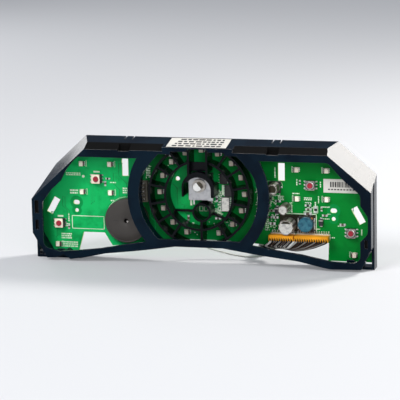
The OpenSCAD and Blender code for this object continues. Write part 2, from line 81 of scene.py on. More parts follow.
# shader maths
class Value:
    # wraps an output socket, so that expressions on it add Math nodes
    def __init__(self, shader, socket):
        self.shader, self.socket = shader, socket

    def math(self, operation, *others):
        inputs = dict(enumerate((self,) + others))
        return self.shader.add("Math", {"operation": operation}, inputs)

    def __add__(self, other):
        return self.math("ADD", other)

    def __sub__(self, other):
        return self.math("SUBTRACT", other)

    def __mul__(self, other):
        return self.math("MULTIPLY", other)

    def __gt__(self, other):
        return self.math("GREATER_THAN", other)

    def __lt__(self, other):
        return self.math("LESS_THAN", other)

    def clamp(self):
        return self.shader.add("Clamp", None, {0: self})

    def ramp(self, low, high):
        # runs from 0 at low to 1 at high
        return self.shader.add("MapRange", {"interpolation_type": "SMOOTHSTEP"},
                               {0: self, 1: low, 2: high})


class Shader:
    def __init__(self, name, **constants):
        self.material = bpy.data.materials.new(name)
        self.material.use_nodes = True
        self.tree = self.material.node_tree
        self.tree.nodes.clear()
        output = self.tree.nodes.new("ShaderNodeOutputMaterial")
        self.body = self.tree.nodes.new("ShaderNodeBsdfPrincipled")
        self.tree.links.new(self.body.outputs[0], output.inputs[0])
        for key, value in constants.items():
            self.set(key.replace("_", " "), value)

    def add(self, kind, settings=None, inputs=None, output=0):
        node = self.tree.nodes.new("ShaderNode" + kind)
        for key, value in (settings or {}).items():
            setattr(node, key, value)
        for key, value in (inputs or {}).items():
            self.plug(node.inputs[key], value)
        return Value(self, node.outputs[output])

    def plug(self, socket, value):
        if isinstance(value, Value):
            self.tree.links.new(value.socket, socket)
        elif socket.type == "RGBA" and len(value) == 3:
            socket.default_value = (*value, 1)
        else:
            socket.default_value = value

    def set(self, name, value):
        self.plug(self.body.inputs[name], value)

    def place(self):
        # the point on the piece, in millimetres
        coords = self.add("TexCoord", output="Object")
        split = self.add("SeparateXYZ", None, {0: coords}).socket.node
        return [Value(self, split.outputs[n]) * (1 / mm) for n in range(3)]

    def noise(self, scale, detail=3, roughness=0.5, stretch=(1, 1, 1)):
        coords = self.add("TexCoord", output="Object")
        mapped = self.add("Mapping", None, {0: coords, 3: tuple(s / mm for s in stretch)})
        return self.add("TexNoise", None, {"Vector": mapped, "Scale": scale, "Detail": detail,
                                           "Roughness": roughness})

    def mix(self, share, a, b):
        return self.add("Mix", {"data_type": "RGBA"}, {0: share, 6: a, 7: b}, 2)

    def blend(self, share, a, b):
        return self.add("Mix", {"data_type": "FLOAT"}, {0: share, 2: a, 3: b})

    def facing(self, axis):
        normal = self.add("NewGeometry", output="Normal")
        return self.add("SeparateXYZ", None, {0: normal}, "XYZ".index(axis))

    def bump(self, height, distance):
        # distance is in millimetres
        self.set("Normal", self.add("Bump", None, {"Distance": distance * mm, "Height": height}))


def mottled(name, patch, reach, colors, fine, rough, depth, **constants):
    # two colours in soft patches, and a finer noise for the gloss and the relief
    s = Shader(name, **constants)
    patch, fine = s.noise(*patch), s.noise(*fine)
    s.set("Base Color", s.mix(patch.ramp(*reach), *colors))
    s.set("Roughness", s.blend(fine, *rough))
    s.bump(fine, depth)
    return s


def plainFinish(name, color, rough, gloss=0.5, spread=0.12):
    # moulded or painted surface
    colors = [tuple(min(1, c * (1 + way * spread)) for c in color) for way in (-1, 1)]
    return mottled(name, (0.06, 2), (0.35, 0.65), colors, (6.0, 2), (rough * 0.85, rough * 1.15),
                   0.01, Specular_IOR_Level=gloss)


def metalSheet(name, color, rough, tint):
    # rolled or drawn metal: fine lines and a few dull patches
    return mottled(name, (0.5, 3), (0.45, 0.7), (color, tint), (2.5, 3, 0.6, (1, 1, 0.08)),
                   (rough * 0.8, rough * 1.35), 0.006, Metallic=1.0)


def frameBlack():
    s = Shader("frameBlack", Specular_IOR_Level=0.07)
    cloud = s.noise(0.05, 3)
    streak = s.noise(0.9, 4, 0.6, (1, 1, 0.2))
    s.set("Base Color", s.mix(cloud.ramp(0.4, 0.62), (0.0003, 0.004, 0.010),
                              (0.0014, 0.0085, 0.0175)))
    s.set("Roughness", s.blend(streak.ramp(0.45, 0.75), 0.14, 0.22))
    s.bump(s.noise(0.35, 2), 0.012)
    return s


# deep is the colour of the board's darker patches and also of its painted shade
boardColors = {
    "left": (0.008, 0.46, 0.115), "right": (0.0006, 0.195, 0.024), "deep": (0.0006, 0.1, 0.014),
    "ring": (0.002, 0.23, 0.05), "edge": (0.5, 0.6, 0.36)}
# x, z and radius of the copper around the holes of the right wing, and so of the left
boardHoles = ((86.75, 37.2, 4.4), (86.7, 31.8, 3.3))
ringFacts = {"z": 46.4, "radius": 28.5, "count": 15, "cells": 16}


def boardGreen():
    # solder mask over copper: lighter to the left, with a painted shadow along its left edge, pale
    # where it is cut
    s = Shader("boardGreen", Specular_IOR_Level=0.07)
    x, y, z = s.place()
    cloud = s.noise(0.03, 2)
    patch = s.noise(0.09, 4, 0.6)
    tone = s.mix((x + cloud * 60).ramp(-30, 70), boardColors["left"], boardColors["right"])
    tone = s.mix(patch.ramp(0.45, 0.75) * 0.5, tone, boardColors["deep"])
    # painted shadow along the board's left edge
    tone = s.mix((x * -1).ramp(102, 108) * 0.75, tone, boardColors["deep"])
    for side in (-1, 1):
        for dx, dz, r in boardHoles:
            across, along = x - side * dx, z - dz
            far = (across * across + along * along).math("SQRT")
            tone = s.mix((far < r) * 0.8, tone, boardColors["ring"])
    # the ring around the light box lies in shade on its left
    up = z - ringFacts["z"]
    far = (x * x + up * up).math("SQRT")
    shade = far.ramp(25, 31) * (far < 46) * (x * -1).ramp(-4, 16) * (y < 5.8)
    tone = s.mix(shade * 0.85, tone, boardColors["deep"])
    weave = s.noise(1.2, 2, 0.5, (1, 1, 0.15))
    cut = s.facing("Y").math("ABSOLUTE") < 0.5
    s.set("Base Color", s.mix(cut, tone, boardColors["edge"]))
    s.set("Roughness", s.blend(cut, s.blend(weave, 0.3, 0.42), 0.8))
    s.bump(weave, 0.012)
    return s


finishes = {
    "frame_black": frameBlack(), "board_green": boardGreen(),
    # drawn can: upright streaks of light and brown
    "can_metal": mottled(
        "canMetal", (0.55, 2, 0.5, (1, 0.04, 1)), (0.42, 0.6), ((0.085, 0.065, 0.05),
        (0.52, 0.48, 0.43)), (3, 2, 0.5, (1, 0.1, 1)), (0.22, 0.4), 0.006, Metallic=0.55),
    "coil_blue": mottled(
        "coilBlue", (0.35, 3, 0.6), (0.35, 0.65), ((0.008, 0.062, 0.105), (0.038, 0.15, 0.2)),
        (4, 2), (0.22, 0.42), 0.015, Specular_IOR_Level=0.2)}
# name: colour, roughness and, where given, gloss and how far the colour strays
plainFacts = {
    "box_black": ((0.001, 0.0015, 0.0026), 0.26, 0.12),
    "dark_plastic": ((0.012, 0.012, 0.013), 0.4, 0.3),
    "cream_plastic": ((0.95, 0.83, 0.66), 0.42),
    "plunger_red": ((0.35, 0.022, 0.04), 0.36, 0.25, 0.2),
    "light_cream": ((0.98, 0.86, 0.7), 0.38),
    "buzzer_brown": ((0.046, 0.041, 0.037), 0.42, 0.3, 0.06),
    "plug_amber": ((0.76, 0.315, 0.016), 0.36, 0.08, 0.2),
    "chip_black": ((0.016, 0.015, 0.017), 0.3, 0.35),
    "part_brown": ((0.075, 0.05, 0.038), 0.4, 0.5, 0.3),
    "label_white": ((0.62, 0.605, 0.55), 0.5, 0.5, 0.05),
    "wire_grey": ((0.2, 0.18, 0.165), 0.38),
    "wire_white": ((0.84, 0.82, 0.78), 0.4),
    "wireDark": ((0.022, 0.017, 0.014), 0.35, 0.3),
    "wireBrown": ((0.09, 0.05, 0.035), 0.38, 0.3),
    "wirePale": ((0.46, 0.43, 0.4), 0.38),
    "silkWhite": ((0.66, 0.78, 0.6), 0.55, 0.5, 0.15),
    "traceGreen": ((0.006, 0.36, 0.09), 0.36, 0.15, 0.2),
    "traceDeep": ((0.003, 0.15, 0.035), 0.36, 0.15, 0.2),
    "lensCream": ((0.93, 0.86, 0.66), 0.18),
    # the brown end of each light chip is painted shadow, and its corner dot is a printed mark
    "ledMarkAndShadow": ((0.085, 0.045, 0.03), 0.4),
    "labelGrey": ((0.018, 0.016, 0.018), 0.5, 0.2, 0.2),
    "markBlack": ((0.012, 0.012, 0.014), 0.4),
    "cornerOrange": ((0.36, 0.13, 0.045), 0.4),
    "pinShade": ((0.002, 0.002, 0.002), 0.7, 0.1),
    # dark print on the capacitors, and painted shade on the board beside them
    "darkPrintAndShade": ((0.022, 0.02, 0.012), 0.5, 0.1, 0.5),
    # painted highlight on the lower edge of the frame's sloped facet
    "frameHighlight": ((0.3, 0.285, 0.27), 0.3, 1.0),
    # painted highlights on the rounded edges of the frame and of the light box
    "frameEdgeHighlight": ((0.1, 0.1, 0.105), 0.24, 1.0),
    "boxEdgeHighlight": ((0.03, 0.034, 0.04), 0.24, 1.0),
    "socketDun": ((0.115, 0.105, 0.075), 0.45, 0.5, 0.3),
}
for key, facts in plainFacts.items():
    finishes[key] = plainFinish(key, *facts)
finishes["lensCream"].set("Coat Weight", 0.5)
# name: colour, roughness and the colour of the dull patches
metalFacts = {
    "plate_metal": ((0.5, 0.5, 0.505), 0.32, (0.41, 0.41, 0.425)),
    "shaft_metal": ((0.9, 0.89, 0.86), 0.3, (0.78, 0.77, 0.73)),
    # painted shade and painted light: a dark and a lit copy of the encoder bushing's metal
    "encoderShade": ((0.15, 0.135, 0.11), 0.34, (0.09, 0.08, 0.07)),
    "bushingLitFace": ((0.44, 0.415, 0.38), 0.34, (0.34, 0.32, 0.295)),
    "switch_grey": ((0.17, 0.155, 0.145), 0.36, (0.11, 0.1, 0.095)),
    "rimMetal": ((0.52, 0.49, 0.46), 0.3, (0.34, 0.32, 0.3)),
    "tinSolder": ((0.74, 0.74, 0.72), 0.26, (0.52, 0.52, 0.51)),
    "canTop": ((0.7, 0.685, 0.63), 0.3, (0.46, 0.45, 0.43)),
    "copperWire": ((0.6, 0.27, 0.13), 0.3, (0.4, 0.17, 0.08)),
}
for key, facts in metalFacts.items():
    finishes[key] = metalSheet(key, *facts)

slotOf = {p["node"]: p["material_slot"] for p in frame["record"]["subparts"]}
for name, piece in nodes.items():
    piece.data.materials.clear()
    piece.data.materials.append(finishes[slotOf[name]].material)
print("finishes are on the frame's nodes")


# mesh tools
def moved(place, angle, axis):
    # place is in millimetres and angle in degrees
    return Matrix.Translation(Vector(place) * mm) @ Matrix.Rotation(radians(angle), 4, axis)


def settle(piece, node=None, body="board_unit"):
    # the piece joins its body, and a piece that stands for a node of the frame hides that node
    scene.collection.objects.link(piece)
    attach(piece, body)
    if node:
        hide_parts(node)
    return piece


class Maker:
    # a piece in the making: places are in millimetres of the frame, and each shape has its finish
    def __init__(self, name, node=None, width=0, **more):
        # node is what the piece stands for, and with a width it begins as a rounded copy of it
        self.name, self.node, self.mesh, self.used = name, node, bmesh.new(), []
        self.turned = Matrix()
        if width:
            self.copy(width, **more)

    def paint(self, faces, finish):
        if finish not in self.used:
            self.used.append(finish)
        for face in faces:
            face.material_index = self.used.index(finish)

    def bevel(self, edges, width, segments, **more):
        return bmesh.ops.bevel(self.mesh, geom=edges, offset=width * mm, segments=segments,
                               profile=0.5, affect="EDGES", material=-1, **more)

    def repaint(self, finish, test):
        # test is asked about each face, with its middle in millimetres
        self.paint([f for f in self.mesh.faces if test(f.calc_center_median() / mm, f)], finish)

    def box(self, low, high, finish, soft=0, turn=0):
        # turn is in degrees about the y axis through the box's middle
        low, high = Vector(low), Vector(high)
        matrix = (self.turned @ moved((low + high) / 2, turn, "Y")
                  @ Matrix.Diagonal((*((high - low) * mm), 1)))
        verts = bmesh.ops.create_cube(self.mesh, size=1, matrix=matrix)["verts"]
        self.paint({f for v in verts for f in v.link_faces}, finish)
        if soft:
            self.bevel(list({e for v in verts for e in v.link_edges}), soft, 1)

    def block(self, x, z, w, h, front, finish, soft=0, back=frontY, turn=0):
        # a box around x and z, that reaches back to the board unless its back is given
        self.box((x - w / 2, front, z - h / 2), (x + w / 2, back, z + h / 2), finish, soft, turn)

    def disc(self, x, z, front, back, r, finish, sides=24):
        verts = bmesh.ops.create_cone(
            self.mesh, cap_ends=True, cap_tris=False, segments=sides, radius1=r * mm,
            radius2=r * mm, depth=(back - front) * mm,
            matrix=moved((x, (front + back) / 2, z), -90, "X"))["verts"]
        self.paint({f for v in verts for f in v.link_faces}, finish)

    def lathe(self, x, z, profile, finish, sides=48):
        # profile runs as radius and y, and spins about the line through x and z
        before = set(self.mesh.faces)
        verts = [self.mesh.verts.new(Vector((x + r, y, z)) * mm) for r, y in profile]
        edges = [self.mesh.edges.new(pair) for pair in zip(verts, verts[1:])]
        bmesh.ops.spin(self.mesh, geom=verts + edges, cent=Vector((x, 0, z)) * mm,
                       axis=(0, 1, 0), angle=2 * pi, steps=sides, use_merge=True)
        new = {v for f in self.mesh.faces if f not in before for v in f.verts}
        bmesh.ops.remove_doubles(self.mesh, verts=list(new), dist=weld)
        new = [f for f in self.mesh.faces if f not in before]
        bmesh.ops.recalc_face_normals(self.mesh, faces=new)
        self.paint(new, finish)

    def tooth(self, x, z, wide, high, front, finish):
        # thin prism that stands on its broad end and narrows upwards
        low, top = x - wide / 2, z + high
        near, rear = ([self.mesh.verts.new(Vector(p) * mm) for p in (
            (low, y, z), (low + wide, y, z), (low + wide * 0.6, y, top),
            (low + wide * 0.1, y, top))] for y in (front, front + 0.1))
        faces = [near[::-1], rear] + [(near[k], near[k - 3], rear[k - 3], rear[k])
                                      for k in range(4)]
        new = [self.mesh.faces.new(f) for f in faces]
        bmesh.ops.recalc_face_normals(self.mesh, faces=new)
        self.paint(new, finish)

    def line(self, points, width, front, finish, back=sunk):
        # straight strips from point to point, in x and z
        for (xa, za), (xb, zb) in zip(points, points[1:]):
            self.block((xa + xb) / 2, (za + zb) / 2, hypot(xb - xa, zb - za) + width, width,
                       front, finish, 0, back, -degrees(atan2(zb - za, xb - xa)))

    def copy(self, width, smallest=28, finish=None, edge=None):
        # the node's own mesh, merged, with the edges rounded that turn by more than smallest
        self.mesh.from_mesh(nodes[self.node].data)
        bmesh.ops.remove_doubles(self.mesh, verts=self.mesh.verts, dist=weld)
        bmesh.ops.dissolve_limit(self.mesh, angle_limit=radians(0.5),
                                 verts=self.mesh.verts, edges=self.mesh.edges)
        self.paint(self.mesh.faces, finish or slotOf[self.node])
        sharp = [e for e in self.mesh.edges if e.is_manifold
                 and e.calc_face_angle(0) > radians(smallest)]
        made = self.bevel(sharp, width, 2, clamp_overlap=True)
        if edge:
            self.paint(made["faces"], edge)

    def make(self, slot=None, body="board_unit", sharp=38):
        for face in self.mesh.faces:
            face.smooth = True
        for edge in self.mesh.edges:
            edge.smooth = edge.is_manifold and edge.calc_face_angle(0) < radians(sharp)
        data = bpy.data.meshes.new(self.name)
        self.mesh.to_mesh(data)
        self.mesh.free()
        for finish in self.used:
            data.materials.append(finishes[finish].material)
        return settle(bpy.data.objects.new(self.name, data), self.node, body)


# cords
harnessFacts = {
    "diameter": 5.6, "strands": 9, "strand": 0.78, "lay": 62, "colors": (0, 1, 2, 1, 3, 0, 1, 2, 1),
    "route": [
    (42, 16.6, 9), (37, 19.6, 8.8), (34, 28, 6.6), (33, 38, 4), (33, 50, 3), (36, 64, 2.9),
    (44, 75, 2.9), (55, 82, 2.9), (63, 91, 2.9), (61, 103, 2.9), (49, 110.5, 2.9), (32, 113, 2.9),
    (6, 113, 2.9), (-20, 110, 2.9), (-38, 102.5, 2.9), (-46, 91, 2.9), (-42, 79.5, 2.9),
    (-24, 74.5, 2.9), (-2, 76, 2.9)]}
whiteWireFacts = {"diameter": 1.3, "route": [
    (44, 14.4, 5.4), (42, 14.6, 4.4), (39, 15, 3.4), (34, 15, 2.5), (28, 15, 2), (21.6, 15, 2.4),
    (15.5, 15, 3.3), (8, 15, 5), (0, 15, 7), (-6, 14.6, 10.4), (-10, 13, 16), (-12, 11, 22),
    (-12, 8.6, 27), (-12, 6.6, 28.6)]}


def smoothRoute(points, steps):
    # passes through every point, with steps points on each stretch
    ends = [2 * Vector(points[0]) - Vector(points[1])] + [Vector(p) for p in points]
    ends.append(2 * ends[-1] - ends[-2])
    out = []
    for a, b, c, d in zip(ends, ends[1:], ends[2:], ends[3:]):
        for n in range(steps):
            t = n / steps
            out.append(0.5 * (2 * b + (c - a) * t + (2 * a - 5 * b + 4 * c - d) * t * t
                              + (3 * b - a - 3 * c + d) * t ** 3))
    return out + [ends[-2]]


def routeLength(points):
    return sum((b - a).length for a, b in zip(points, points[1:]))


def newCurve(name, diameter, resolution, *colors):
    data = bpy.data.curves.new(name, "CURVE")
    data.dimensions = "3D"
    data.bevel_depth = diameter * mm / 2
    data.bevel_resolution = resolution
    data.use_fill_caps = True
    for color in colors:
        data.materials.append(finishes[color].material)
    return data


def addSpline(data, points):
    spline = data.splines.new("POLY")
    spline.points.add(len(points) - 1)
    for point, place in zip(spline.points, points):
        point.co = (*(place * mm), 1)
    return spline


def stations(centres):
    # each centre with two directions square to the path
    across = Vector((0, 0, 1))
    for n, centre in enumerate(centres):
        ahead = (centres[min(n + 1, len(centres) - 1)] - centres[max(n - 1, 0)]).normalized()
        across = (across - ahead * across.dot(ahead)).normalized()
        yield centre, across, ahead.cross(across)


def beside(station, r, turn):
    centre, across, along = station
    return centre + r * (cos(turn) * across + sin(turn) * along)


def strandTube(mesh, centres, r, sides, index):
    # a tube of rings square to its path
    rings = [[mesh.verts.new(beside(station, r, 2 * pi * k / sides) * mm)
              for k in range(sides)] for station in stations(centres)]
    faces = [mesh.faces.new(rings[0][::-1]), mesh.faces.new(rings[-1])]
    for a, b in zip(rings, rings[1:]):
        for k in range(sides):
            j = (k + 1) % sides
            faces.append(mesh.faces.new((a[k], a[j], b[j], b[k])))
    for face in faces:
        face.material_index = index


def harnessMesh(facts):
    # insulated wires laid around a core, with a slow twist
    piece = Maker("harnessBundle", "harness")
    piece.used = ["wire_grey", "wireDark", "wirePale", "wireBrown"]
    centres = smoothRoute(facts["route"], 5)
    ringR = facts["diameter"] / 2 - facts["strand"] - 0.02
    strandTube(piece.mesh, centres, ringR - 0.15, 10, 1)
    run, lanes = 0.0, [[] for _ in range(facts["strands"])]
    for n, station in enumerate(stations(centres)):
        run += (station[0] - centres[max(n - 1, 0)]).length
        for k, lane in enumerate(lanes):
            turn = 2 * pi * (k / facts["strands"] + run / facts["lay"])
            lane.append(beside(station, ringR, turn))
    for k, lane in enumerate(lanes):
        strandTube(piece.mesh, lane, facts["strand"], 6,
                   facts["colors"][k % len(facts["colors"])])
    return piece, centres


fanFacts = {"wire": 1.14, "first": 1.35, "z": 18.2, "routes": {
    # start and count, and where the first and the last wire pass: three times with x from the
    # wire's own start, and twice with x as it is
    "wiresLeft": (
        (46.47, 10), ((-0.3, -0.35, 17), (-0.3, -0.35, 17)), ((-1.6, 0.4, 15.2), (-1.7, 0.3, 15.6)),
        ((-4.4, 2.4, 12.9), (-4.4, 2.6, 12.8)), ((44, 7.4, 11.2), (53.6, 6.6, 10.8)),
        ((44.6, 12.6, 10.2), (48.6, 11.4, 10))),
    "wiresRight": (
        (63.27, 14), ((-0.35, -0.35, 17), (-0.4, -0.35, 17)),
        ((-3.3, 1.3, 14.2), (-3.9, 0.6, 15.3)), ((-6.9, 4, 11.5), (-11.5, 3, 12)),
        ((50.4, 8, 11), (61.2, 5.5, 9.6)), ((46.5, 12.6, 10), (52.5, 10.6, 9.8)))}}


def wireFan(name, node, facts=fanFacts):
    # the wires of one plug: down out of its throats, back under the board and to the tie
    tail = harnessFacts["route"][0]
    data = newCurve(name, facts["wire"], 2, "wire_white", "wirePale", "wireDark", "wireBrown")
    (start, count), *near, fourth, fifth = facts["routes"][name]
    for n in range(count):
        x, share, deeper = start + pinPitch * n, n / (count - 1), 0.55 * (n % 2)
        route = [(x, -0.4, facts["z"])]
        for low, high in near:
            dx, y, z = Vector(low).lerp(high, share)
            route.append((x + dx, y + deeper * (17.2 - z) / 4, z))
        for low, high in (fourth, fifth):
            route.append(Vector(low).lerp(high, share) + Vector((0, deeper, 0)))
        angle, spread = 2.4 * n, 1.9 * sqrt((n + 0.5) / count)
        across, up = spread * cos(angle) * 0.6, spread * sin(angle)
        route += [(tail[0] + 2.4, 15.7 + across * 0.7, tail[2] + 0.8 * up),
                  (tail[0], tail[1] + across, tail[2] + up)]
        spline = addSpline(data, smoothRoute(route, 4))
        for point in spline.points:
            point.radius = facts["first"] / facts["wire"] if n == 0 else 1 - 0.22 * (n % 2 == 0)
        spline.material_index = 0 if n == 0 else (1, 2, 3, 2)[n % 4]
    return settle(bpy.data.objects.new(name, data), node)


fanLeft = wireFan("wiresLeft", "wires_left")
fanRight = wireFan("wiresRight", "wires_right")
cableTie = Maker("cableTie", "cable_tie", 0.15).make(sharp=12)
piece = Maker("harnessPlug", "harness_connector", 0.3)
piece.turned = moved((-2, 76, 0), 6, "Z")
for k in range(6):
    y = -6.65 + 2.6 * k
    for z in (1.8, 4.4):
        piece.box((9.0, y - 0.35, z - 0.3), (12.4, y + 0.35, z + 0.3), "tinSolder", 0.08)
        piece.box((-0.25, y - 0.6, z - 0.55), (0.3, y + 0.6, z + 0.55), "wireDark", 0.15)
    piece.box((3.0, y - 0.2, 5.9), (11.5, y + 0.2, 6.25), "cream_plastic", 0.08)
for y in (-9.3, 8.9):
    piece.box((4.5, y, 1.2), (9.5, y + 0.4, 4.8), "cream_plastic", 0.12)
harnessPlug = piece.make()

piece, harnessPath = harnessMesh(harnessFacts)
harness = piece.make(sharp=75)
harnessPath[0] * mm
routeLength(harnessPath) * mm
[p * mm for p in harnessPath]
whitePath = smoothRoute(whiteWireFacts["route"], 2)
data = newCurve("whiteWire", whiteWireFacts["diameter"], 4, "wire_white")
addSpline(data, whitePath)
whiteWire = settle(bpy.data.objects.new("whiteWire", data), "white_wire")
whitePath[0] * mm
routeLength(whitePath) * mm
print("cords are laid")


# moulded parts
# width of the rounded edges; these edges carry a painted highlight
mouldingFacts = {"frameEdgeHighlight": 0.26, "boxEdgeHighlight": 0.2}
piece = Maker("frameMoulding", "housing_frame", mouldingFacts["frameEdgeHighlight"], smallest=9,
              edge="frameEdgeHighlight")
# the hollows stay in the dark: two snap windows and three recesses
hollows = [((s * 49.5 - 4.1, -8.2, 74.9), (s * 49.5 + 4.1, -1.2, 82)) for s in (-1, 1)]
hollows += [((-111.6, -8.3, 31.7), (-108.8, -6.9, 40.5)),
            ((-111.5, -8.3, 20.8), (-109.1, -6.9, 27.4)),
            ((109.1, -8.3, 15.9), (111.5, -6.9, 21.7))]
piece.repaint("pinShade", lambda p, f: any(all(
    a < b < c for a, b, c in zip(low, p, high)) for low, high in hollows))
# painted highlight: a thin light line where the sloped facet meets the front
piece.repaint("frameHighlight", lambda p, f: (
    p.z > 70 and p.y < -7.6 and f.normal.y < -0.3 and f.normal.z > 0.15
    and abs(f.normal.x) < 0.2
    and f.calc_area() < 0.5 * mm * max(edge.calc_length() for edge in f.edges)))
piece.make(sharp=6)
Maker("lightBoxMoulding", "light_box", mouldingFacts["boxEdgeHighlight"], edge="boxEdgeHighlight").make(sharp=8)
print("mouldings are rounded")


# lights
chipFacts = {"width": 3.2, "height": 3.2, "tall": 1.9, "brown": 0.7, "lens": 0.9}


def lightChip(piece, x, z, side, facts=chipFacts):
    # side is 1 where the brown end, a painted shadow on the body, is at the right
    width, height, tall, brown, r = facts.values()
    top = frontY - tall
    piece.block(x - side * brown / 2, z, width - brown, height, top, "light_cream", 0.07)
    piece.block(x + side * (width - brown) / 2, z, brown, height - 0.2, top + 0.12, "ledMarkAndShadow",
                0.06)
    piece.lathe(x - side * brown / 2, z, [(r + 0.16, top + 0.02), (r + 0.1, top - 0.05),
                (r, top - 0.05), (r - 0.12, top + 0.03), (0, top - 0.02)], "lensCream", 20)
    piece.disc(x - side * (width / 2 - 0.45), z + height / 2 - 0.45, top - 0.03, top + 0.02, 0.2,
               "ledMarkAndShadow", 10)
    for dz in (-1.05, 0, 1.05):
        for end in (-1, 1):
            piece.block(x + end * (width / 2 + 0.325), z + dz, 0.85, 0.72, frontY - 0.28,
                        "tinSolder", 0.08)


for n in range(1, ringFacts["count"] + 1):
    angle = radians(-90 + n * 360 / ringFacts["cells"])
    piece = Maker("ringLight%d" % n, "ring_light_%d" % n)
    lightChip(piece, ringFacts["radius"] * cos(angle),
              ringFacts["z"] + ringFacts["radius"] * sin(angle), 1)
    piece.make()
wingLights = [(62.5, 63.6), (62.6, 44.5), (82.1, 44.6), (82.1, 63.5), (100, 8.6)]
for side, word in ((-1, "left"), (1, "right")):
    piece = Maker(word + "WingLights", word + "_wing_lights")
    for x, z in wingLights:
        lightChip(piece, side * x, z, -side)
    piece.make()
print("lights are made")


# push switches
switchPlaces = [(-72, 53.8), (-98.5, 23.2), (72, 53.8), (98.5, 23.2)]
switchFacts = {"front": 1.6, "half": 3.0, "opening": 1.87, "lead": 0.95, "tip": 0.7}


def pushSwitch(number, x, z, facts=switchFacts):
    # the first two have a narrower cover of cream plastic, the others one of metal
    cream = number < 3
    plate, rim = ("cream_plastic",) * 2 if cream else ("switch_grey", "rimMetal")
    front, half, r, lead, tip = facts.values()
    right = half + 0.45 if cream else half
    low, high = x - half, x + (half - 0.45 if cream else half)
    middle, wide = (low + high) / 2, high - low
    piece = Maker("pushSwitch%d" % number, "switch_body_%d" % number)
    piece.box((low + 0.1, front + 0.75, z - half + 0.1), (x + right, frontY, z + half - 0.1),
              "markBlack", 0.15)
    # cover plate with a turned-up rim around the opening
    for s in (-1, 1):
        piece.block(middle, z + s * (half + r) / 2, wide, half - r, front, plate, 0.12,
                    front + 0.8)
    for x0, x1 in ((low, x - r), (x + r, high)):
        piece.box((x0, front, z - r), (x1, front + 0.8, z + r), plate)
    piece.lathe(x, z, [
        (r + 0.75, front + 0.1), (r + 0.35, front - 0.12), (r + 0.02, front - 0.12),
        (r + 0.02, front + 0.8), (r + 0.75, front + 0.8), (r + 0.75, front + 0.1)], rim, 32)
    for a in (-1, 1):
        for b in (-1, 1):
            piece.disc(middle + a * (wide / 2 - 0.62), z + b * (half - 0.62), front - 0.14,
                       front + 0.1, 0.3, rim, 12)
    if cream:
        piece.box((high + 0.05, front + 0.5, z - half + 0.5),
                  (x + right - 0.1, front + 1.2, z + half - 0.5), "chip_black", 0.1)
    else:
        # lighter edges of the metal cover and its folded clips
        for s in (-1, 1):
            piece.block(middle, z + s * (half - 0.15), wide - 0.2, 0.3, front - 0.06, rim, 0.06,
                        front + 0.2)
            piece.block(high + 0.01, z + s * (half - 1.1), 0.42, 1.2, front + 0.1, rim, 0.06)
    # foot, upright and top of each lead at the left, and the foot at the right: middle, size,
    # front and back above the board, and edge
    leads = ((-half - 0.7, 2, lead, 0.45, 0, 0.12),
             (-half - 0.625, 0.25, lead - 0.2, 2.3, 0.2, 0.06),
             (-half - 0.225, 1.05, lead - 0.2, 2.5, 2.2, 0.06),
             (half + 0.5, 1.6, lead, 0.4, 0, 0.12))
    for dz in (-2.25, 0, 2.25):
        for dx, w, h, rise, base, soft in leads:
            piece.block(x + dx, z + dz, w, h, frontY - rise, "tinSolder", soft, frontY - base)
    piece.make()
    piece = Maker("plunger%d" % number, "switch_plunger_%d" % number)
    piece.lathe(x, z, [
        (0, tip + 0.12), (0.95, tip + 0.1), (1.15, tip), (1.5, tip), (1.68, tip + 0.06),
        (1.75, tip + 0.2), (1.75, tip + 2.9), (0, tip + 2.9)], "plunger_red", 40)
    piece.make(body="plunger_%d" % number, sharp=60)


for number, (x, z) in enumerate(switchPlaces, 1):
    pushSwitch(number, x, z)
print("switches are made")


# encoder
# flat is the way that the shaft's flat faces, in degrees
encoderFacts = {"z": 52.8, "bushing": 4.55, "cover": -3.3, "flat": 40}
cover, flat = encoderFacts["cover"], radians(encoderFacts["flat"])
piece = Maker("encoderBase", "encoder_base", 0.2)
for n in range(5):
    x, low = -6 + 3 * n, 38.3 if n in (0, 4) else 41.2
    piece.block(x, 42.4, 1.1, 1.6, frontY - 1.2, "dark_plastic", 0.1)
    piece.box((x - 0.5, frontY - 0.5, low), (x + 0.5, frontY - 0.1, 43), "tinSolder", 0.08)
piece.make()
piece = Maker("encoderCover", "encoder_cover", 0.14)
# painted light: the bushing's face in front of the cover is a lighter copy of its metal
piece.repaint("bushingLitFace", lambda p, f: (
    hypot(p.x, p.z - encoderFacts["z"]) < encoderFacts["bushing"] and p.y < cover - 0.05))
# two stamped tongues and the folded feet
for s in (-1, 1):
    piece.block(s * 6.2, 45.5, 1.6, 1.8, cover - 0.06, "plate_metal", 0.05, cover + 0.1)
    piece.disc(s * 5.9, 58.6, cover - 0.1, cover + 0.1, 0.5, "plate_metal", 16)
    piece.block(s * 7.4, 51.05, 0.3, 2.3, cover + 0.3, "plate_metal", 0.06)
piece.make(sharp=12)
piece = Maker("encoderShaft", "encoder_shaft", 0.1)
# painted shade on the shaft's flat and on the front-facing steps behind its tip
piece.repaint("encoderShade", lambda p, f: (
    p.y < -6.2 and f.normal.dot(Vector((cos(flat), 0, sin(flat)))) > 0.995
    or p.y > -7 and f.normal.y < -0.9))
piece.make(body="shaft", sharp=12)
print("encoder is made")


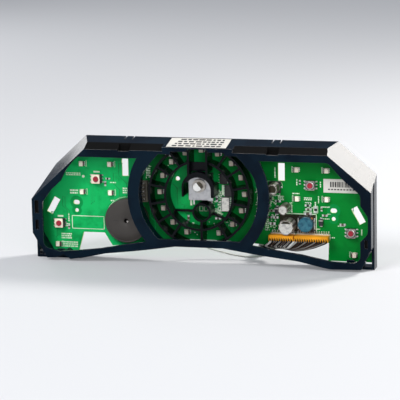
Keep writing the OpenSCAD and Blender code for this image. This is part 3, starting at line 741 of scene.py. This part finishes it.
# buzzer
buzzerFacts = {"x": -51.3, "z": 26.7, "radius": 14.6, "front": -0.5}
x, z, r, front = buzzerFacts.values()
piece = Maker("buzzerCan", "buzzer")
piece.lathe(x, z, [
    (0, front + 2.6), (1.6, front + 2.6), (1.6, front + 0.15), (1.8, front), (r - 1.1, front),
    (r - 0.95, front + 0.08), (r - 0.8, front), (r - 0.45, front), (r - 0.12, front + 0.12),
    (r, front + 0.45), (r, 4.4), (r - 0.25, 4.55), (r - 0.25, frontY), (0, frontY)],
    "buzzer_brown", 96)
piece.disc(x, z, front + 2.3, front + 2.5, 1.55, "pinShade", 24)
piece.box((x + 0.1, front + 0.9, z - 1.2), (x + 1.3, front + 1.3, z + 0.1), "rimMetal", 0.1, 35)
for n in range(3):
    piece.block(x - 8.2 + n * 1.3, z + 0.01, 0.8, 0.22, front - 0.02, "dark_plastic", 0,
                front + 0.05)
piece.make()


# capacitors
canFacts = {
    # x, z, radius, height and where the dark sector of the marked pole begins
    "large": (57.2, 27.1, 5.0, 10.0, 0.6),
    "small": (55.4, 38.6, 3.2, 10.2, None),
    "surface": (48.4, 51.7, 3.6, 9.6, -0.75)}


def canPiece(word, x, z, r, high, mark):
    piece = Maker(word + "Capacitor", "capacitor_" + word)
    top = frontY - high
    piece.lathe(x, z, [
        (0, top + 0.12), (r - 0.75, top + 0.12), (r - 0.62, top), (r - 0.35, top),
        (r - 0.1, top + 0.12), (r, top + 0.4), (r, 2.55), (r - 0.28, 2.75), (r - 0.28, 3.15),
        (r, 3.35), (r, 4.6), (r - 0.3, 4.8), (0, 4.8)], "can_metal", 64)
    piece.repaint("canTop", lambda p, f: p.y < top + 0.2 and hypot(p.x - x, p.z - z) < r - 0.5)
    # star of the vent, and the dark sector in level strips
    for turn in (20, 80, 140):
        piece.block(x, z, 2 * r - 2.2, 0.14, top + 0.09, "rimMetal", 0, top + 0.14, turn)
    if mark is not None:
        reach, strips = r - 0.85, 9
        step = reach * (0.97 - mark) / strips
        for n in range(strips):
            up = reach * mark + step * (n + 0.5)
            wide = 1.92 * sqrt(reach * reach - up * up)
            piece.block(x, z + up, wide, step + 0.02, top + 0.06, "darkPrintAndShade", 0, top + 0.11)
    if word == "surface":
        piece.block(x, z, 7.8, 7.8, 3.7, "markBlack", 0.35)
        for s in (-1, 1):
            piece.block(x + s * 4.3, z, 1.4, 1.2, 4.6, "tinSolder", 0.1)
    else:
        piece.lathe(x, z, [
            (0, 4.5), (r - 0.1, 4.5), (r + 0.12, 4.7), (r + 0.12, frontY), (0, frontY)],
            "markBlack", 48)
        for s in (-1, 1):
            piece.lathe(x + s * r * 0.4, z, [
                (0, backY + 1.4), (0.3, backY + 1.3), (0.38, backY + 0.9), (0.95, backY + 0.1),
                (1, backY - 0.05), (0, backY - 0.05)], "tinSolder", 12)
    piece.make()


for word, facts in canFacts.items():
    canPiece(word, *facts)
print("buzzer and capacitors are made")


# inductor
coilFacts = {"x": 69.0, "z": 28.2, "radius": 4.8, "turns": 6}
x, z, r, turns = coilFacts.values()
piece = Maker("inductorBase", "inductor_base", 0.25)
for s in (-1, 1):
    piece.block(x + s * 3.9, z + s * 3.9, 1.4, 1.0, 2.45, "cornerOrange", 0.1, 2.75, 45)
    piece.block(x + s * 5.2, z, 1.1, 7.2, 3.6, "tinSolder", 0.15)
piece.make()
piece = Maker("inductorCoil", "inductor_coil")
piece.lathe(x, z, [
    (0, -0.45), (1.9, -0.5), (2.6, -0.9), (4, -0.95), (r - 0.15, -0.75), (r, -0.45), (r, 0.35),
    (r - 0.2, 0.5), (r - 0.75, 0.55), (r - 0.75, 2.2), (r - 0.2, 2.25), (r, 2.4), (r, 2.6),
    (0, 2.6)], "coil_blue", 56)
for n in range(turns):
    y = 0.68 + n * 0.27
    piece.lathe(x, z, [(r - 0.8, y - 0.13), (r - 0.55, y - 0.09), (r - 0.47, y),
                       (r - 0.55, y + 0.09), (r - 0.8, y + 0.13)], "copperWire", 40)
piece.make()
print("inductor is made")


# plugs and headers
plugFacts = {"headerZ": 17.8, "headerY": 2.6, "deep": 6.0,
             "places": [("left", 45.4, 10), ("right", 62.2, 14)]}


def contactX(start, k):
    return start + 0.3 + (k + 0.5) * pinPitch


for word, start, count in plugFacts["places"]:
    wide = count * pinPitch + 0.6
    z, deep = plugFacts["headerZ"], plugFacts["deep"]
    rear = plugFacts["headerY"]
    front = rear - deep
    piece = Maker("header" + word.capitalize(), "header_" + word, 0.1)
    for k in range(count):
        x = contactX(start, k)
        piece.block(x, z + 4.2, 0.44, 1.8, rear + 0.9, "tinSolder", 0.05, frontY - 0.15)
        piece.block(x, z + 4.7, 0.68, 1.6, frontY - 0.14, "tinSolder", 0.05)
    piece.make()
    piece = Maker("plug" + word.capitalize(), "plug_" + word, 0.1)
    # each wire's window, contact, crimp and rib: rise, size, front, back, finish and edge
    rows = ((0.675, 0.72, 0.95, 0.5, 0.95, "pinShade", 0.05),
            (0.65, 0.4, 0.7, 0.38, 0.52, "tinSolder", 0.04),
            (0.85, 1.0, 0.3, 0.9, deep - 0.9, "pinShade", 0.05),
            (2.4, 0.32, 1.8, -0.14, 0.1, "plug_amber", 0.06))
    for k in range(count):
        x = contactX(start, k)
        for up, w, h, y0, y1, finish, soft in rows:
            piece.block(x, z + up, w, h, front + y0, finish, soft, front + y1)
        piece.tooth(x, z - 0.02, 1.2, 2.2, front - 0.03, "pinShade")
    for x in (start + 0.5, start + wide - 0.5):
        piece.block(x, z + 2.85, 0.9, 1.3, front - 0.25, "plug_amber", 0.15, front + 0.2)
    piece.block(start + wide / 2, z + 3.275, wide - 0.4, 0.45, front - 0.2, "plug_amber", 0.12,
                front + 0.2)
    piece.make()
print("plugs are made")


# chips
def flatChip(word, x, z, w, h, tall, leads, plate=None):
    piece = Maker(word + "Chip", word + "_chip")
    top, step = frontY - tall, h / leads
    piece.block(x, z, w, h, top, "chip_black", 0.16, frontY - 0.12)
    if plate:
        piece.block(x, z, w - 0.6, h - 0.6, top - 0.03, plate, 0.03, top + 0.05)
    piece.lathe(x - w / 2 + 0.9, z + h / 2 - 0.9, [(0.5, top - 0.02), (0.42, top - 0.05),
                (0.34, top - 0.02), (0, top - 0.01)], "dark_plastic", 20)
    # shoulder, upright and foot of each lead: middle, width, front and back
    bends = ((0.16, 0.52, top + tall * 0.45, top + tall * 0.62),
             (0.375, 0.15, top + tall * 0.5, frontY - 0.1),
             (0.635, 0.63, frontY - 0.2, frontY - 0.02))
    for s in (-1, 1):
        for k in range(leads):
            for out, wide, y0, y1 in bends:
                piece.block(x + s * (w / 2 + out), z + (k + 0.5) * step - h / 2, wide,
                            min(0.4, step * 0.5), y0, "tinSolder", 0, y1)
    piece.make()


flatChip("driver", 17.4, 48.2, 5, 7.6, 1.5, 7)
flatChip("control", 15.3, 39.2, 5.4, 9.6, 1.3, 8, "canTop")
flatChip("memory", 14.2, 56.2, 5, 7, 1.4, 4)

piece = Maker("sideConnector", "side_connector", 0.2, finish="socketDun")
for k in range(5):
    z = 41.3 + 2.6 * k
    piece.block(-39.5, z, 1, 0.7, frontY - 3.6, "tinSolder", 0.08, frontY - 1.4)
    piece.block(-36.1, z, 1.4, 0.6, frontY - 0.5, "tinSolder", 0.06, frontY - 0.05)
piece.make()

# x, z, width and height
chipPlaces = [
    (69.9, 40.2, 3.4, 1.5), (70.2, 37.6, 3.4, 1.5), (69.8, 34.7, 4.4, 1.9), (75, 37.5, 1.8, 3.6),
    (78.9, 38.1, 1.2, 2.4), (81, 33.9, 3, 1.4), (64.8, 55.3, 1.2, 2.2), (92.6, 28.2, 3.2, 1.6),
    (42.6, 44.6, 1.6, 3), (45.4, 44.2, 1.6, 3), (43.4, 39.6, 3, 1.6), (46, 36, 3, 1.6),
    (44.6, 31.6, 2.6, 1.6), (48.6, 31.6, 2.6, 1.6), (46.4, 27.4, 3, 1.8), (50, 42.4, 3.2, 1.6),
    (-66.4, 50.4, 1.4, 2.6), (-92.4, 20.4, 1.4, 2.4), (-64.6, 53.8, 2.4, 1.2), (10, 29.6, 3, 1.6),
    (-10, 29.2, 1.6, 3), (9.4, 42.6, 1.6, 3)]
piece = Maker("chipParts", "chip_parts")
for n, (x, z, w, h) in enumerate(chipPlaces):
    top, length, level = frontY - 0.7, max(w, h), w > h
    piece.block(x, z, w - 0.2, h - 0.2, top, "part_brown" if n % 3 else "chip_black", 0.06)
    # a cap on each end, and the solder outside it
    ends = ((length * 0.36, length * 0.28, top - 0.03, 0.08),
            (length / 2 + 0.175, 0.55, frontY - 0.3, 0.12))
    for s in (-1, 1):
        for out, wide, front, soft in ends:
            spot = (x + s * out, z, wide, h) if level else (x, z + s * out, w, wide)
            piece.block(*spot, front, "tinSolder", soft)
piece.make()
piece = Maker("diodes", "diodes")
for x, z in ((78.6, 29.4), (49.6, 36.4), (38.2, 64.6)):
    piece.block(x, z, 2.8, 4.4, 3, "chip_black", 0.25)
    piece.block(x, z + 1.25, 2.76, 0.5, 2.97, "canTop", 0, 3.1)
    for s in (-1, 1):
        piece.block(x, z + s * 2.5, 1.6, 1, 4.5, "tinSolder", 0.1)
piece.make()
print("chips are made")


# labels
labelFacts = {"seed": 5, "lean": 10.6, "bars": (84.6, 98.4), "words": 9, "lines": 4}
piece = Maker("boardLabel", "board_label")
piece.box((80.2, frontY - 0.15, 49), (103.2, frontY, 58), "label_white", 0.05)
draw = random.Random(labelFacts["seed"])
x, end = labelFacts["bars"]
while x < end:
    w = draw.choice((0.45, 0.6, 0.9))
    piece.box((x, frontY - 0.18, 52.7), (x + w, frontY - 0.1, 56.2), "labelGrey")
    x += w + draw.choice((0.45, 0.6))
for n in range(labelFacts["words"]):
    x = 83.2 + n * 2
    piece.box((x, frontY - 0.18, 50.8), (x + 1.3, frontY - 0.1, 51.6), "labelGrey")
piece.make()

piece = Maker("frameLabel", "frame_label")
draw = random.Random(labelFacts["seed"])
piece.box((-21, -4.9, 0), (19, 11.3, 0.15), "label_white", 0.05)
for row in range(labelFacts["lines"]):
    y, x = -3.7 + row * 3.8, -17.6 + 1.2 * row
    while x < 14.5:
        w = draw.uniform(1.4, 4.2)
        piece.box((x, y, 0.12), (min(x + w, 15.6), y + 2.1, 0.18), "labelGrey")
        x += w + draw.uniform(0.7, 1.3)
bmesh.ops.transform(piece.mesh, verts=piece.mesh.verts,
                    matrix=moved((0, -2.5, 79.4), labelFacts["lean"], "X"))
piece.make()
print("labels are made")


# print on the board
silkFacts = {"thick": 0.03, "line": 0.42, "seed": 11, "padSeed": 23}
silkY = frontY - silkFacts["thick"]
silk = Maker("boardPrint")


def stroke(points, width=silkFacts["line"]):
    silk.line(points, width, silkY, "silkWhite")


def outline(x0, z0, x1, z1, width=silkFacts["line"]):
    stroke([(x0, z0), (x1, z0), (x1, z1), (x0, z1), (x0, z0)], width)


def bar(x0, z0, x1, z1, finish="silkWhite"):
    silk.box((x0, silkY, z0), (x1, sunk, z1), finish)


def dashes(*boxes, upright=False):
    # short plain dashes in rows, where the real board has small print
    for x0, z0, x1, z1, count in boxes:
        if upright:
            x0, z0, x1, z1 = z0, x0, z1, x1
        step = (z1 - z0) / count
        for row in range(count):
            at, run = z0 + row * step, x0
            while run < x1:
                length = draw.uniform(0.5, 1.3 if upright else 1.4)
                a, b = (run, at), (min(run + length, x1), at + step * 0.62)
                bar(*(a[::-1] + b[::-1] if upright else a + b))
                run += length + draw.uniform(0.25, 0.5)


draw = random.Random(silkFacts["seed"])
# empty field, bars beside the switches and rows of the left wing
outline(-90.2, 19.4, -68.1, 28)
bar(-74.4, 57.6, -70.1, 58.7)
bar(-100.3, 26.8, -96.4, 28)
dashes((-92.9, 24, -91.7, 29.4, 1), upright=True)
dashes((-93.5, 55.3, -83.4, 57.6, 2), (-91.1, 42.9, -85.4, 46.4, 2),
       (-98, 12.2, -90.9, 16.4, 3), (-98.4, 6.6, -86.8, 10.8, 3),
       (-63.2, 50.9, -58.8, 52, 1), (-63, 38.6, -60, 40, 1), (-94.6, 20.6, -92, 23.2, 2),
       (-54.6, 44.2, -51.4, 48.6, 3), (-46, 57, -43.4, 66, 6), (-48.6, 42.6, -46.4, 53, 5))
silk.disc(-81.6, 54.8, silkY, sunk, 0.95, "silkWhite", 20)
# rows of the right wing
dashes((59.7, 47.4, 64.3, 48.5, 1), (50.2, 43.1, 54, 46.3, 3), (67.4, 43.6, 72.4, 45.8, 2),
       (68, 41.8, 71.8, 42.5, 1), (79.4, 39.1, 84, 40.2, 1), (80.2, 39.3, 84.2, 40.1, 1),
       (82.6, 34.6, 84.6, 35.3, 1), (79.4, 31.4, 84, 32.2, 1), (89.5, 26.8, 93.9, 27.9, 1),
       (73.9, 24.4, 77.7, 25.4, 1), (70, 21.3, 83.3, 22.1, 1), (83.6, 19, 87.3, 20.1, 1),
       (57.6, 22.2, 66, 22.7, 1), (41.6, 24.4, 44, 30.6, 5), (46.8, 45.6, 49, 46.6, 1),
       (58.4, 41.2, 60, 42.2, 1), (41.8, 33, 44.2, 38, 4))
dashes((62.4, 53.2, 63.5, 57.2, 1), (77.9, 52.2, 79, 56, 1), (104.6, 21.6, 105.8, 25.4, 1),
       (48, 57.8, 49.2, 64.6, 1), (58.8, 34, 60, 40.4, 1), (76.6, 41.8, 77.6, 46.4, 1),
       upright=True)
outline(73.7, 35.2, 76.3, 39.8, 0.34)
dashes((74.4, 40.2, 75.6, 42.6, 1), upright=True)
outline(67.2, 33.4, 72.4, 36, 0.34)
outline(43.4, 46.2, 51.4, 55.4, 0.36)
# painted shade on the board under the large capacitor and the coil
bar(51, 21.6, 74.9, 33.9, "darkPrintAndShade")
stroke([(55.4, 34.4), (75.3, 34.4), (75.3, 22.4)])
# brackets beside the lights of both wings
for side in (-1, 1):
    for x, z in wingLights:
        edge = side * (x - 2.95)
        stroke([(edge + side * 0.55, z + 1.9), (edge, z + 1.9), (edge, z - 1.9),
                (edge + side * 0.55, z - 1.9)], 0.26)
# arcs around the buzzer and the three capacitors: x, z, radius and two angles
for x, z, r, low, high in ((-51.3, 26.7, 15.2, 60, 200), (57.2, 27.1, 5.7, 150, 215),
                           (55.4, 38.6, 3.8, -60, 50), (48.4, 51.7, 5.0, 15, 60)):
    steps = max(8, round(r * (high - low) / 90))
    turns = [radians(low + (high - low) * n / steps) for n in range(steps + 1)]
    stroke([(x + r * cos(turn), z + r * sin(turn)) for turn in turns], 0.36)
# small print and pads inside the ring and beside it
dashes((7.2, 31.6, 12.2, 36.4, 5), (8.4, 43.6, 12.4, 47.8, 4), (-38.2, 56.4, -35.4, 62.4, 4),
       (36.4, 40, 39, 50, 7), (34.6, 26, 38.6, 33, 5), (9, 71.2, 13.4, 72.4, 1),
       (31, 45.2, 32.2, 48.6, 2), (33, 20, 38, 24, 4))
for box in ((-8.7, 37.6, -7.4, 41.4), (4, 38, 6.4, 41.4), (12.9, 45.2, 14, 51.8)):
    bar(*box)
for x in (-1.3, 1.9):
    outline(x - 1.1, 34.2, x + 1.1, 37.2, 0.6)
draw = random.Random(silkFacts["padSeed"])
# x and z of two corners, and the number of pads
padFields = ((7, 31.2, 12.8, 48.4, 46), (41.4, 22.6, 48.6, 46.4, 60),
             (-38.4, 54.6, -35.2, 63.4, 12), (35.4, 22, 39.2, 52, 34),
             (66.6, 31.8, 73, 42.6, 10), (-26, 60, -20, 72, 8), (-8, 18, 20, 30, 16))
for x0, z0, x1, z1, count in padFields:
    for n in range(count):
        x, z = draw.uniform(x0, x1), draw.uniform(z0, z1)
        w, h = draw.choice(((0.5, 1.2), (1.2, 0.5), (0.7, 0.7), (0.5, 0.5), (1.6, 0.45)))
        finish = "silkWhite" if n % 3 else "tinSolder"
        silk.block(x, z, w, h, silkY - 0.02, finish, 0, sunk)
silk.make("board_green")
print("print is on the board")


# traces and vias
traceFacts = {"seed": 31, "thick": 0.02, "width": 0.3, "wide": 0.5}
piece = Maker("boardTraces")
draw = random.Random(traceFacts["seed"])
traceY = frontY - traceFacts["thick"]
# start x, start z, count, pitch, first run, slant run, last run
bundles = [(-79.5, 60.4, 3, 1, 9, 3, 12), (-60.8, 57.6, 4, 0.9, 7, 4, 14),
           (-96.6, 40.6, 3, 0.9, 6, 3, 5), (-57, 64, 4, 0.8, 8, 5, 9),
           (-104.6, 30, 3, 0.9, 6, 3, 8), (-22, 62, 4, 0.8, 9, 4, 12),
           (-14.6, 38, 3, 0.9, 4, 3, 8), (6.6, 46.6, 6, 0.75, 5, 2, 6),
           (34, 62, 4, 0.8, 10, 3, 16), (-36, 36, 4, 0.8, 7, 3, 12),
           (-6, 28.4, 3, 0.9, 3, 2, 4), (14, 30.6, 4, 0.8, 3, 3, 5)]
for x, z, count, gap, first, slant, last in bundles:
    for n in range(count):
        a, bend = x + n * gap, first + n * 0.3
        points = [(a, z), (a, z - bend), (a + slant, z - bend - slant),
                  (a + slant, z - first - slant - last + n * 0.8)]
        piece.line(points, traceFacts["width"], traceY,
                   "traceGreen" if draw.random() < 0.6 else "traceDeep")
        for vx, vz in (points[0], points[-1]):
            piece.disc(vx, vz, traceY - 0.01, sunk, 0.42, "traceGreen", 12)
            piece.disc(vx, vz, traceY - 0.02, frontY, 0.16, "pinShade", 8)
# a few wide traces on the back
for n in range(18):
    x, z = -88 + n * 10.4, 47 + 13 * sin(n * 1.3)
    piece.line([(x, z), (x + 7.5, z), (x + 10.5, z - 3), (x + 10.5, z - 9 - n % 4)],
               traceFacts["wide"], backY - 0.02, "traceGreen", backY + 0.02)
    piece.disc(x, z, backY - 0.02, backY + 0.03, 0.6, "tinSolder", 12)
piece.make("board_green")


# solder on the back
piece = Maker("solderJoints")


def joint(x, z, r=0.75, pin=1.1):
    piece.lathe(x, z, [
        (0, backY + pin), (r * 0.3, backY + pin - 0.06), (r * 0.38, backY + pin * 0.6),
        (r * 0.62, backY + pin * 0.28), (r, backY + 0.04), (r * 1.1, backY - 0.03),
        (0, backY - 0.03)], "tinSolder", 10)


for word, start, count in plugFacts["places"]:
    for k in range(count):
        joint(contactX(start, k), 20.6 + 1.6 * (k % 2), 0.58)
for k in range(5):
    joint(-6 + 3 * k, 42)
    joint(-39.4, 41.3 + 2.6 * k, 0.6)
for x, z in ((-9, 52.8), (9, 52.8), (-55.1, 26.7), (-47.5, 26.7)):
    joint(x, z, 1)
piece.make("plate_metal")
print("traces and joints are made")


# studio
studioFacts = {"floor": (0.45, 0.457, 0.47), "glow": (0.18, 0.183, 0.188),
               "low": (0.16, 0.18, 0.225, 1), "high": (0.29, 0.305, 0.345, 1)}
# name: place, aim, size, power and, where it isn't white, colour
lampFacts = {
    "keyLamp": ((-0.52, -1.1, 1.15), (0, 0, 0.04), (0.7, 0.6), 19),
    "fillLamp": ((0.62, -1.25, 0.5), (0, 0, 0.04), (0.8, 0.6), 8),
    "rightBackLamp": ((0.62, 0.55, 0.73), (0.1, 0, 0.07), (0.28, 0.26), 14, (1, 0.97, 0.93)),
    "leftBackLamp": ((-0.95, 1.0, 0.48), (-0.1, 0, 0.07), (0.5, 0.4), 3.2)}


def makeFloor(facts):
    # the floor's own glow is seen, straight or in the piece, and lights nothing
    bpy.ops.mesh.primitive_plane_add(size=12)
    floor = bpy.context.object
    floor.name = "studioFloor"
    s = Shader("studioFloor", Roughness=0.7, Emission_Strength=1.0)
    s.set("Base Color", facts["floor"])
    path = s.add("LightPath").socket.node
    rays = [Value(s, path.outputs[f"Is {kind} Ray"])
            for kind in ("Camera", "Glossy", "Transmission")]
    seen = (rays[0] + rays[1] + rays[2]).clamp()
    s.set("Emission Color", s.mix(seen, (0, 0, 0), facts["glow"]))
    floor.data.materials.append(s.material)


def makeWorld(facts):
    world = bpy.data.worlds.new("studio")
    scene.world = world
    world.use_nodes = True
    tree = world.node_tree
    tree.nodes.clear()
    output, background, coords, split, rise, sky = (
        tree.nodes.new("ShaderNode" + kind) for kind in (
            "OutputWorld", "Background", "TexCoord", "SeparateXYZ", "MapRange", "Mix"))
    rise.inputs[1].default_value, rise.inputs[2].default_value = 0.1, 0.8
    sky.data_type = "RGBA"
    sky.inputs[6].default_value, sky.inputs[7].default_value = facts["low"], facts["high"]
    for a, b in ((coords.outputs["Generated"], split.inputs[0]),
                 (split.outputs[2], rise.inputs[0]), (rise.outputs[0], sky.inputs[0]),
                 (sky.outputs[2], background.inputs[0]), (background.outputs[0], output.inputs[0])):
        tree.links.new(a, b)


def addLamp(name, place, aim, size, power, color=(1, 1, 1)):
    data = bpy.data.lights.new(name, "AREA")
    data.shape = "RECTANGLE"
    data.size, data.size_y = size
    data.energy = power
    data.color = color
    lamp = bpy.data.objects.new(name, data)
    turn = (Vector(aim) - Vector(place)).to_track_quat("-Z", "Y")
    lamp.matrix_world = Matrix.Translation(place) @ turn.to_matrix().to_4x4()
    scene.collection.objects.link(lamp)


scene.view_settings.view_transform = "Standard"
makeFloor(studioFacts)
makeWorld(studioFacts)
for name, facts in lampFacts.items():
    addLamp(name, *facts)
print("studio is lit")
